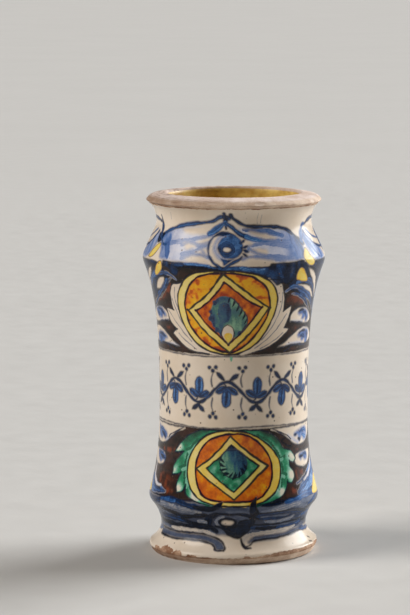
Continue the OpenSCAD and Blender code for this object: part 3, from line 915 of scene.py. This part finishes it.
# pale gaps between the ribbons
strokes("slate", """
    0.3 2.2 | -58,35.2 -50,34.8 -42,33.6 -34,32.8 -24,31.8;
    0.06 2 | -57,15.2,0.8 -50,15.4 -40,15.8 -30,15.9 -22,15.2 -15,13.4,1.4;
    0.3 2 | -27,22.9 -24,23.2 -21,22.8;
    0.06 2 | 8,9.4 10,12.2 14,13.5 20,14.2 30,14.5 40,14.9 50,15.4 56,16,0.8;
    0.3 2.6 | 28,33 35,34.2 43,35.6 50,36;
    0.3 1.6 | 27,22.4 38,22.7 46,23.6 51,24.4
""", spared=["blue"], streak=0.08)
spare(patchReach(oval(-4.2, 23, 4.6, 2.2)))
stroke("blue", 0.97, 2.2, oval(-4.2, 23, 6, 3.5, 16) + way("1.8,23"))
stroke("slate", 0.3, 1.2, oval(-4.4, 23, 8.6, 5.2, 12, 110, 230))
patch("warm", 0.14, way("-7,36.4 0,37.4 8,36.4 9,39 0,39.8 -6,39"))
for points in bothSides(way("15,40 8,38.6 0,39 -3,44 0,50.6 5,49.6 11,45")):
    sparedPatch("warm", 0.16, points, 0.06)


# Band in the middle: a running vine between two lines

vine = {
    "middle": 114.8, "sway": 7.2, "wave": 45, "start": -5, "stem": 2.6, "leaf": 14.5, "leafWide": 8.4,
    "stemLoad": 0.74, "leafLoad": 0.42, "budLoad": 0.62,
}


def brushLeaf(u, v, lean, length, wide, load):
    # leaf pressed from its root, leaning by degrees from straight up
    du, dv = math.sin(math.radians(lean)), math.cos(math.radians(lean))
    bow = 0.07 * length
    places = [(0, 0.9), (0.3, wide * 0.86), (0.58, wide), (0.82, wide * 0.5), (1, 0.3)]
    leaf = [(u + du * length * at + dv * bow * at, v + dv * length * at - du * bow * at, size)
            for at, size in places]
    stroke("blue", load, None, leaf, streak=0.09, rim=0.3)
    stroke("blue", load + 0.3, 0.8, [point[:2] for point in leaf[:4]], streak=0)


for level, bend in ((139.5, 0.25), (90.4, 0.6)):
    stroke("blue", 0.8, 1.0, [(u, level + bend * math.sin(u * 0.07)) for u in range(-99, 92, 6)], streak=0)
middle, sway, wave, start = (vine[name] for name in ("middle", "sway", "wave", "start"))
stem = [(u, middle + sway * math.cos(2 * math.pi * (u - start) / wave)) for u in range(-113, 104, 3)]
stroke("blue", vine["stemLoad"], vine["stem"], stem)
for index in range(-5, 6):
    u = start + index * wave / 2
    sign = 1 if index % 2 == 0 else -1     # crest or trough of the stem
    crest = middle + sign * sway
    inward = 180 if sign > 0 else 0
    stalk = [(u - 4, crest - sign * 0.6), (u - 1.4, crest - sign * 2), (u, crest - sign * 4)]
    stroke("blue", vine["stemLoad"], 1.3, stalk)
    for lean, length, wide in ((0, 1, 1), (62, 0.68, 0.74), (-62, 0.68, 0.74)):
        brushLeaf(u, crest - sign * 3.4, inward + lean, vine["leaf"] * length, vine["leafWide"] * wide,
                  vine["leafLoad"])
    for lean in (52, -52):
        brushLeaf(u + lean * 0.03, crest + sign * 0.6, 180 - inward + lean, vine["leaf"] * 0.62,
                  vine["leafWide"] * 0.5, vine["leafLoad"] + 0.1)
    for side in (-1, 1):
        tendril = [(u + along, middle + side * up, wide)
                   for along, up, wide in ((11.2, 4, 1), (10.4, 9, 1.2), (11.6, 13, 0.9))]
        stroke("blue", 0.7, None, tendril)
        for dotU, dotV in ((0.6, 14.6), (-2, 16.8), (2.8, 17.2)):
            bud = oval(u + 11.2 + dotU, middle + side * dotV, 1.6, 1.6, 8)
            patch("blue", vine["budLoad"], bud, rim=0.2)
patch("green", 0.3, way("-3,139 -1,139 -1.4,136.6 -2.4,136.4"))
strokes("line", "17,232 16.8,236 17.3,240.5; 19.6,233 19.9,239; -52,234 -51,239", 0.15, 0.3, streak=0)
print("painted", brush["strokes"], "strokes on", round(coatLength, 2), "mm of coat")

# Chips where the coat has come off the clay, with their widths and heights in mm
chipDeep = 0.5
chipSpots = way("""
    -53,2.2,7,3.2 -41,1.2,4,2.6 -64,1,5,2.4 -29,0.6,3,1.6 -18,0.3,2,1 9,0.4,2.4,1.2 120,1,5,3
    165,1.2,3.5,2.2 -130,1,4,2.4 -100,208.5,1.6,1 140,209.5,1.4,0.9 74,49,1.2,0.8
""")
topChips = way("17,2,1.4 -40,3,1 -75,4,1.2 60,2.4,1 110,3,1.4 -150,4,1.4")
chipSpots += [(u, coatLength, wide, high) for u, wide, high in topChips]
chip = np.full(turnGrid.shape, unpainted)
ragged = 1 + 0.35 * softNoise(turnGrid, upGrid, 1.6, 1.6, 31)
for u, v, wide, high in chipSpots:
    off = np.hypot((np.mod(turnGrid - u + 180, 360) - 180) / wide, (upGrid - v) / high) * ragged
    chip = np.maximum(chip, (1 - off) * min(wide, high))
wearEdge = 0.35 + 0.5 * softNoise(turnGrid, upGrid, 5, 300, 33)
wearEdge = wearEdge + 0.3 * softNoise(turnGrid, upGrid, 1.5, 300, 34)
higher = 2.6 * easeStep(8, 40, turnGrid) * easeStep(130, 95, turnGrid)     # the coat ends higher on the right
chip = np.maximum(chip, wearEdge + 0.3 + higher - upGrid)
chip = np.maximum(chip, wearEdge * 1.2 + 0.2 - (coatLength - upGrid))


# The coat's mesh, in rings that lie on one another

coatPieces = []
bounds = np.linspace(0, len(coatUp) - 1, coat["pieces"] + 1).astype(int)
for index in range(coat["pieces"]):
    rowOf = np.arange(bounds[index], bounds[index + 1] + 1)
    line = coatRows[rowOf]
    if index == 0:
        line = np.vstack([coatLow, (coatLow + coatRows[0]) / 2 + [0.1, -0.1], line])
        rowOf = np.concatenate([[0, 0], rowOf])
    if index == coat["pieces"] - 1:
        line = np.vstack([line, (coatHigh + coatRows[-1]) / 2 + [0.1, 0.05], coatHigh])
        rowOf = np.concatenate([rowOf, [rowOf[-1], rowOf[-1]]])
    piece = spinLine("tinGlaze" + str(index + 1), line, coat["columns"])
    around, radius, height = turnedPlaces(piece)
    place = np.interp(height, line[2:, 1], np.arange(2, len(line))).round().astype(int)
    for end in (0, 1, len(line) - 2, len(line) - 1):
        place[np.hypot(radius - line[end, 0], height - line[end, 1]) < 0.02] = end
    row = rowOf[place]
    column = np.mod(np.round((around + 180) * coat["columns"] / 360).astype(int), coat["columns"])
    for name in layerNames:
        addAttribute(piece, name + "Edge", paint[name]["edge"][row, column])
        addAttribute(piece, name + "Load", np.clip(paint[name]["load"][row, column], 0, 1))
    addAttribute(piece, "chipEdge", chip[row, column])
    grow, lift = handShift(around, height)
    grow = grow + hand["rings"] * softNoise(around * 0, coatUp[row], 360, 2.6, 12)
    grow = grow - chipDeep * easeStep(-0.25, 0.35, chip[row, column])
    placeTurned(piece, around, radius + grow, height + lift)
    outward(piece, 1)
    coatPieces.append(piece)
print("coat made", sum(len(piece.data.polygons) for piece in coatPieces), "faces")


# Bare clay: rim, foot's edge and underside show, the wall is under the coats
clay = {
    "columns": 480,
    "fine": 0.55,          # mm between points on the rim and on the foot's edge
    "plain": 1.5,          # under the foot
    "coarse": 6.0,         # and where the coats hide the clay
    "rimFrom": 238,        # mm up, where the rim starts
    "footTo": 9.5,         # and where the foot ends
    "footFrom": 30,        # mm out from the axis, where the foot starts
    "edgeFrom": 53,        # and where its edge starts
    "nickDeep": 0.55,      # mm that nicks go in
    "scuffDeep": 0.07,     # and scuffs
    "lumpDeep": 0.1,       # and slow lumps
}
# degrees round, mm round the rim, width, height and depth of single nicks
rimNicks = way("17,8.6,3.4,2.2,1 -14,9.4,5,1.4,0.6 -48,8,4,1.6,0.4 64,8,3,2,0.7 150,8,5,2.4,1 -110,9,4,2,0.9")

clayLong = pointsAlong(clayLine)[-1]
clayStations = [0.0]
while clayStations[-1] < clayLong - 0.3:
    out, up = smoothLine(clayLine, np.array(clayStations[-1:]))[0]
    foot = out > clay["footFrom"] and up < clay["footTo"]
    if up > clay["rimFrom"] or (foot and out > clay["edgeFrom"]):
        step = clay["fine"]
    else:
        step = clay["plain"] if foot else clay["coarse"]
    clayStations.append(min(clayStations[-1] + step, clayLong))
clayStations[-1] = clayLong
clayProfile = np.maximum(smoothLine(clayLine, np.array(clayStations)), 0)
clayProfile[[0, -1], 0] = 0
clayPiece = spinLine("clayBody", clayProfile, clay["columns"])
around, radius, height = turnedPlaces(clayPiece)
grow, lift = handShift(around, height)
upperHalf = height > 120
rimShare = easeStep(243, 245, height) * easeStep(46.4, 47.6, radius)     # where the clay is worn
footShare = easeStep(9, 7, height) * easeStep(50, 55, radius)
roll = height - radius + np.where(upperHalf, -178, 60)     # mm round the rim or the foot's edge
scuff = 0.6 * softNoise(around, roll, 11, 1.1, 41) + 0.5 * softNoise(around, roll, 3, 0.8, 42)
lump = softNoise(around, roll, 16, 6, 44)
nick = np.clip(softNoise(around, roll, 5, 3, 43) * 2.2 - 1.75, 0, 1)
nickEdge = 1.4 - 0.3 * softNoise(around, roll, 1.2, 0.8, 45)
for spotTurn, spotRoll, wide, high, deep in rimNicks:
    off = np.hypot((np.mod(around - spotTurn + 180, 360) - 180) / wide, (roll - spotRoll) / high)
    nick = np.maximum(nick, deep * np.clip(nickEdge - off, 0, 1) * upperHalf)
depth = clay["nickDeep"] * nick + clay["scuffDeep"] * scuff + clay["lumpDeep"] * lump
depth = depth * np.maximum(rimShare, footShare)
outShare = np.clip((radius - 52) / 8, 0, 1)     # wear goes in at the rim's edge and down on its top
grow = grow - depth * outShare
lift = lift - depth * (1.3 - outShare) * rimShare
lift = np.where(height < 1.5, np.maximum(lift, 0), lift)
onAxis = radius < 1
grow[onAxis] = lift[onAxis] = 0
placeTurned(clayPiece, around, radius + grow, np.maximum(height + lift, 0))
addAttribute(clayPiece, "rimShare", easeStep(238, 242, height))
addAttribute(clayPiece, "scuff", np.clip(0.5 + 0.5 * scuff, 0, 1))
addAttribute(clayPiece, "nick", nick)
rimFlank = easeStep(248.2, 246.8, height) * easeStep(56, 58, radius)
addAttribute(clayPiece, "edge", rimFlank + easeStep(9, 7, height))
# painted shade: shady makes the clay darker on the jar's left side, from the front round towards the back
addAttribute(clayPiece, "shady", easeStep(0, -60, around) * easeStep(-170, -110, around))
print("clay made", len(clayPiece.data.polygons), "faces")


# Honey glaze on the inside
lining = {"columns": 360, "rowStep": 1.0, "rings": 0.18, "ringGap": 4.5}

liningProfile = smoothLine(liningLine, evenStations(liningLine, lining["rowStep"]))
liningProfile[0, 0] = 0
liningPiece = spinLine("honeyGlaze", liningProfile, lining["columns"])
around, radius, height = turnedPlaces(liningPiece)
wallShare = easeStep(12, 20, height) * easeStep(249, 244, height)
ring = np.sin(2 * math.pi * (height + around / 360 * lining["ringGap"]) / lining["ringGap"])
grow = lining["rings"] * wallShare * (ring * 0.5 + softNoise(around, height, 40, 12, 51)) * 0.5
placeTurned(liningPiece, around, radius + grow, height)
outward(liningPiece, -1)
print("lining made", len(liningPiece.data.polygons), "faces")


# Materials

building = {"tree": None, "rows": 5, "wide": 220, "high": 300}     # where new nodes go, row under row


def tint(red, green, blue):
    # from the 0-255 values of a screen to the shader's linear ones
    parts = [channel / 255 for channel in (red, green, blue)]
    parts = [p / 12.92 if p <= 0.04045 else ((p + 0.055) / 1.055) ** 2.4 for p in parts]
    return (*parts, 1)


def feed(socket, value):
    if isinstance(value, bpy.types.NodeSocket):
        building["tree"].links.new(value, socket)
    else:
        socket.default_value = value


def newNode(kind, inputs=None, **settings):
    nodes = building["tree"].nodes
    column, row = divmod(len(nodes), building["rows"])
    node = nodes.new(kind)
    node.location = (column * building["wide"], -row * building["high"])
    for name, value in settings.items():
        setattr(node, name, value)
    for name, value in (inputs or {}).items():
        feed(node.inputs[name], value)
    return node


def noiseAt(place, scale, detail=2.0, rough=0.5):
    values = {"Vector": place, "Scale": scale, "Detail": detail, "Roughness": rough}
    return newNode("ShaderNodeTexNoise", values).outputs["Fac"]


def cellsAt(place, scale, feature="F1"):
    values = {"Vector": place, "Scale": scale}
    return newNode("ShaderNodeTexVoronoi", values, feature=feature).outputs["Distance"]


def maths(operation, a, b, clamp=False):
    return newNode("ShaderNodeMath", {0: a, 1: b}, operation=operation, use_clamp=clamp).outputs[0]


def times(a, b):
    return maths("MULTIPLY", a, b)


def plus(a, b, clamp=False):
    return maths("ADD", a, b, clamp)


def minus(a, b):
    return maths("SUBTRACT", a, b)


def spread(value, low, high, toLow, toHigh, curve="SMOOTHSTEP"):
    values = {"Value": value, "From Min": low, "From Max": high, "To Min": toLow, "To Max": toHigh}
    return newNode("ShaderNodeMapRange", values, interpolation_type=curve).outputs["Result"]


def mixColour(share, under, over):
    # by number, as the names come again for other kinds of value
    return newNode("ShaderNodeMix", {0: share, 6: under, 7: over}, data_type="RGBA").outputs[2]


def rampOf(value, stops):
    # stops written as place,red,green,blue
    node = newNode("ShaderNodeValToRGB", {"Fac": value})
    elements = node.color_ramp.elements
    while len(elements) < len(stops):
        elements.new(0.5)
    for element, (at, *shade) in zip(elements, stops):
        element.position = at
        element.color = tint(*shade)
    return node.outputs["Color"]


def bump(height, strength, deep):
    values = {"Height": height, "Strength": strength, "Distance": deep}
    return newNode("ShaderNodeBump", values).outputs["Normal"]


def attributeOf(name):
    return newNode("ShaderNodeAttribute", attribute_name=name).outputs["Fac"]


def objectPlace():
    return newNode("ShaderNodeTexCoord").outputs["Object"]


def newGroup(name, inputs, outputs):
    group = bpy.data.node_groups.new(name, "ShaderNodeTree")
    for socketName, value in inputs.items():
        kind = "NodeSocketColor" if isinstance(value, tuple) else "NodeSocketFloat"
        group.interface.new_socket(socketName, in_out="INPUT", socket_type=kind).default_value = value
    for socketName in outputs:
        kind = "NodeSocketColor" if socketName == "Colour" else "NodeSocketFloat"
        group.interface.new_socket(socketName, in_out="OUTPUT", socket_type=kind)
    building["tree"] = group
    return group, newNode("NodeGroupInput").outputs, newNode("NodeGroupOutput").inputs, objectPlace()


def useGroup(group, **values):
    return newNode("ShaderNodeGroup", values, node_tree=group).outputs


def newMaterial(name, baseColour):
    material = bpy.data.materials.new(name)
    material.use_nodes = True
    material.diffuse_color = baseColour
    building["tree"] = material.node_tree
    return material, material.node_tree.nodes["Principled BSDF"].inputs


# brushEdge: how much paint lies at a point, from the mm to the stroke's edge, with a ragged edge
brushEdge, given, made, place = newGroup(
    "brushEdge", {"Edge": 0.0, "Load": 0.5, "Soft": 0.3, "Ragged": 0.5, "Mottle": 0.3}, ["Cover", "Tone"])
coarse = noiseAt(place, 420, 3.0, 0.6)
fine = noiseAt(place, 1500, 2.0, 0.6)
spots = noiseAt(place, 180, 4.0, 0.65)
wobble = times(minus(plus(coarse, fine), 1.0), given["Ragged"])
reach = plus(given["Edge"], wobble)
feed(made["Cover"], spread(maths("DIVIDE", reach, given["Soft"]), -1, 1, 0, 1))
pool = spread(reach, 0.1, 1.3, 0.1, 0)
mottle = times(minus(plus(spots, fine), 1.0), given["Mottle"])
feed(made["Tone"], plus(plus(given["Load"], mottle), pool, True))

# glazeSkin: waves, pinholes and dulling of a fired glaze
glazeSkin, given, made, place = newGroup(
    "glazeSkin", {"Wear": 0.3}, ["Waves", "Pits", "Dulling", "Stain", "Craze"])
feed(made["Waves"], plus(noiseAt(place, 70), times(noiseAt(place, 420, 3.0), 0.22)))
rare = spread(noiseAt(place, 120), 0.54, 0.62, 0, 1)
feed(made["Pits"], times(spread(cellsAt(place, 260), 0.1, 0.2, 1, 0), rare))
dull = times(noiseAt(place, 900, 5.0, 0.7), noiseAt(place, 35, 4.0, 0.6))
feed(made["Dulling"], times(dull, given["Wear"]))
feed(made["Stain"], spread(noiseAt(place, 22, 5.0, 0.62), 0.35, 0.75, 0, 1))
feed(made["Craze"], spread(cellsAt(place, 95, "DISTANCE_TO_EDGE"), 0, 0.018, 1, 0))

# clayGrain: sandy fired earthenware
clayGrain, given, made, place = newGroup(
    "clayGrain", {"Light": tint(206, 172, 144), "Dark": tint(140, 100, 74)}, ["Colour", "Grit"])
broad = noiseAt(place, 90, 5.0, 0.65)
sand = noiseAt(place, 1600, 3.0, 0.7)
share = spread(plus(broad, times(minus(sand, 0.5), 0.5)), 0.32, 0.68, 0, 1)
feed(made["Colour"], mixColour(share, given["Dark"], given["Light"]))
feed(made["Grit"], plus(sand, times(broad, 1.5)))

# Looks. Heights are in metres, bend is the index of refraction and shows is how strongly a thing shows.
tinGlaze = {
    "cream": tint(233, 217, 198), "stain": tint(222, 202, 178),
    "craze": tint(176, 158, 136), "pit": tint(96, 74, 58),
    "crazeShows": 0.06, "pitShows": 0.8, "wear": 0.5,
    "rough": 0.15, "dulled": 0.5, "shine": 0.17, "bend": 1.52, "waveHeight": 0.00035,
}
pigments = {
    # soft edge in mm, raggedness, mottle, strength and colours from thin to thick paint
    "wash": (1.8, 0.9, 0.3, 0.95,
             "0,232,224,224 0.3,206,208,224 0.6,146,160,197 0.85,70,114,176 1,38,80,144"),
    "brown": (0.6, 0.6, 0.5, 0.98, "0,124,56,30 0.4,56,28,22 1,14,10,12"),
    "slate": (1.8, 0.4, 0.3, 0.95, "0,208,196,182 0.35,108,120,142 0.65,36,57,90 1,13,17,29"),
    "blue": (0.8, 0.4, 0.42, 0.97,
             "0,172,192,220 0.3,84,134,192 0.52,40,84,140 0.75,18,42,78 1,8,14,26"),
    "warm": (0.4, 0.4, 0.25, 0.97,
             "0,240,224,160 0.2,236,206,92 0.36,240,180,12 0.64,224,114,4 1,160,46,6"),
    "green": (0.45, 0.5, 0.3, 0.97,
              "0,230,222,202 0.22,142,200,176 0.5,34,142,100 0.8,14,84,62 1,10,44,40"),
    "feather": (0.5, 0.6, 0.6, 0.97, "0,24,44,76 0.35,54,92,122 0.65,78,128,118 1,138,182,150"),
    "line": (0.35, 0.28, 0.3, 0.95, "0,158,148,140 0.5,80,88,112 1,14,22,42"),
}
glazeMaterial, shader = newMaterial("tinGlazePainted", tinGlaze["cream"])
skin = useGroup(glazeSkin, Wear=tinGlaze["wear"])
colour = mixColour(skin["Stain"], tinGlaze["cream"], tinGlaze["stain"])
for name, (soft, ragged, mottle, strength, stops) in pigments.items():
    laid = useGroup(brushEdge, Soft=soft, Ragged=ragged, Mottle=mottle, Edge=attributeOf(name + "Edge"),
                    Load=attributeOf(name + "Load"))
    colour = mixColour(times(laid["Cover"], strength), colour, rampOf(laid["Tone"], way(stops)))
colour = mixColour(times(skin["Craze"], tinGlaze["crazeShows"]), colour, tinGlaze["craze"])
colour = mixColour(times(skin["Pits"], tinGlaze["pitShows"]), colour, tinGlaze["pit"])
grain = useGroup(clayGrain)
bare = useGroup(brushEdge, Soft=0.18, Ragged=0.9, Mottle=0.0, Edge=attributeOf("chipEdge"))
feed(shader["Base Color"], mixColour(bare["Cover"], colour, grain["Colour"]))
rough = plus(times(skin["Dulling"], tinGlaze["dulled"]), tinGlaze["rough"])
feed(shader["Roughness"], plus(rough, times(bare["Cover"], 0.6), True))
feed(shader["IOR"], tinGlaze["bend"])
feed(shader["Specular IOR Level"], tinGlaze["shine"])
relief = minus(skin["Waves"], times(skin["Pits"], 0.6))
relief = plus(relief, times(times(grain["Grit"], bare["Cover"]), 0.4))
feed(shader["Normal"], bump(relief, 0.5, tinGlaze["waveHeight"]))

# brown tints the scuffs and is also the colour of the painted shade on the clay's left side
bareClay = {
    "light": tint(234, 216, 206), "dark": tint(206, 180, 162),
    "edgeLight": tint(228, 204, 180), "edgeDark": tint(196, 164, 138),
    "brown": tint(120, 82, 56), "fresh": tint(228, 208, 190),
    "leftShadeShows": 0.34, "gritHeight": 0.0003,
}
clayMaterial, shader = newMaterial("bareClay", bareClay["light"])
grain = useGroup(clayGrain, Light=bareClay["light"], Dark=bareClay["dark"])
edgeGrain = useGroup(clayGrain, Light=bareClay["edgeLight"], Dark=bareClay["edgeDark"])
edge, shady = attributeOf("edge"), attributeOf("shady")
colour = mixColour(edge, grain["Colour"], edgeGrain["Colour"])
# the scuffs are wear, and drawing them stronger on the left side is painted shade
streak = times(spread(attributeOf("scuff"), 0.5, 0.15, 0, 0.5), plus(shady, 0.3))
colour = mixColour(streak, colour, bareClay["brown"])
# painted shade: the clay's left side is mixed towards brown, most on the flanks of the rim and foot
leftShade = times(times(plus(edge, 0.5), shady), bareClay["leftShadeShows"])
colour = mixColour(leftShade, colour, bareClay["brown"])
bright = times(spread(attributeOf("nick"), 0.25, 0.6, 0, 0.6), attributeOf("rimShare"))
feed(shader["Base Color"], mixColour(bright, colour, bareClay["fresh"]))
feed(shader["Roughness"], spread(grain["Grit"], 0.6, 1.8, 0.55, 0.9, "LINEAR"))
feed(shader["Normal"], bump(grain["Grit"], 0.6, bareClay["gritHeight"]))

honeyGlaze = {
    "thin": tint(232, 200, 108), "thick": tint(184, 138, 50), "pale": tint(240, 216, 150),
    "paleShows": 0.3, "wear": 0.4, "runs": (70, 70, 120),
    "rough": 0.36, "dulled": 0.5, "bend": 1.55, "waveHeight": 0.0004,
}
honeyMaterial, shader = newMaterial("honeyGlaze", honeyGlaze["thin"])
skin = useGroup(glazeSkin, Wear=honeyGlaze["wear"])
runs = newNode("ShaderNodeMapping", {"Vector": objectPlace(), "Scale": honeyGlaze["runs"]}).outputs["Vector"]
runs = spread(noiseAt(runs, 1.0, 4.0, 0.6), 0.35, 0.65, 0, 1)
colour = mixColour(runs, honeyGlaze["thin"], honeyGlaze["thick"])
pale = times(skin["Stain"], honeyGlaze["paleShows"])
feed(shader["Base Color"], mixColour(pale, colour, honeyGlaze["pale"]))
feed(shader["Roughness"], plus(times(skin["Dulling"], honeyGlaze["dulled"]), honeyGlaze["rough"], True))
feed(shader["IOR"], honeyGlaze["bend"])
feed(shader["Normal"], bump(skin["Waves"], 0.5, honeyGlaze["waveHeight"]))
print("materials made")

for piece, material, node, slotName in (
        [(piece, glazeMaterial, "outer_glaze", "tin_glaze") for piece in coatPieces]
        + [(clayPiece, clayMaterial, "clay_body", "clay"),
           (liningPiece, honeyMaterial, "inner_glaze", "honey_glaze")]):
    piece.data.materials.clear()
    piece.data.materials.append(material)
    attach(piece, "root")
    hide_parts(node)


# Stage: wide pale floor
stage = {"wide": 80, "light": tint(208, 205, 200), "dark": tint(202, 199, 194)}

deselectAll()
bpy.ops.mesh.primitive_plane_add(size=1)
floor = bpy.context.object
floor.name = floor.data.name = "floor"
editMesh((bpy.ops.transform.resize, {"value": (stage["wide"], stage["wide"], 1)}))
floorMaterial, shader = newMaterial("paleFloor", stage["light"])
place = objectPlace()
feed(shader["Base Color"], mixColour(noiseAt(place, 3, 4.0), stage["light"], stage["dark"]))
feed(shader["Roughness"], spread(noiseAt(place, 40, 4.0), 0.3, 0.7, 0.55, 0.7, "LINEAR"))
floor.data.materials.append(floorMaterial)


# Lights and camera
lights = {
    # where each soft light comes from, how many degrees it is wide and how strong it is
    "left": {"from": (-1.75, -0.46, 1.42), "wide": 32, "power": 2.25, "colour": (1, 0.97, 0.94)},
    "right": {"from": (1.97, 1.11, 1.07), "wide": 44, "power": 4.6, "colour": (0.96, 0.98, 1)},
}
sky = {"colour": (0.92, 0.95, 1.0, 1), "power": 0.01}
for name, setting in lights.items():
    deselectAll()
    x, y, z = setting["from"]
    bpy.ops.object.light_add(type="SUN", location=setting["from"],
                             rotation=(math.atan2(math.hypot(x, y), z), 0, math.atan2(x, -y)))
    lamp = bpy.context.object
    lamp.name = name + "Light"
    lamp.data.energy = setting["power"]
    lamp.data.angle = math.radians(setting["wide"])
    lamp.data.color = setting["colour"]

world = bpy.data.worlds.new("studioWorld")
world.use_nodes = True
background = world.node_tree.nodes["Background"]
background.inputs["Color"].default_value = sky["colour"]
background.inputs["Strength"].default_value = sky["power"]
scene.world = world
scene.view_settings.view_transform = "Standard"

view = {"place": (0, -1.958, 0.421), "down": 7.326, "left": 0.582, "lens": 167.06, "film": 36}
deselectAll()
bpy.ops.object.camera_add(location=view["place"],
                          rotation=(math.radians(90 - view["down"]), 0, math.radians(view["left"])))
camera = bpy.context.object
camera.data.lens = view["lens"]
camera.data.sensor_width = view["film"]
camera.data.clip_start = 0.05
scene.camera = camera
print("stage made")
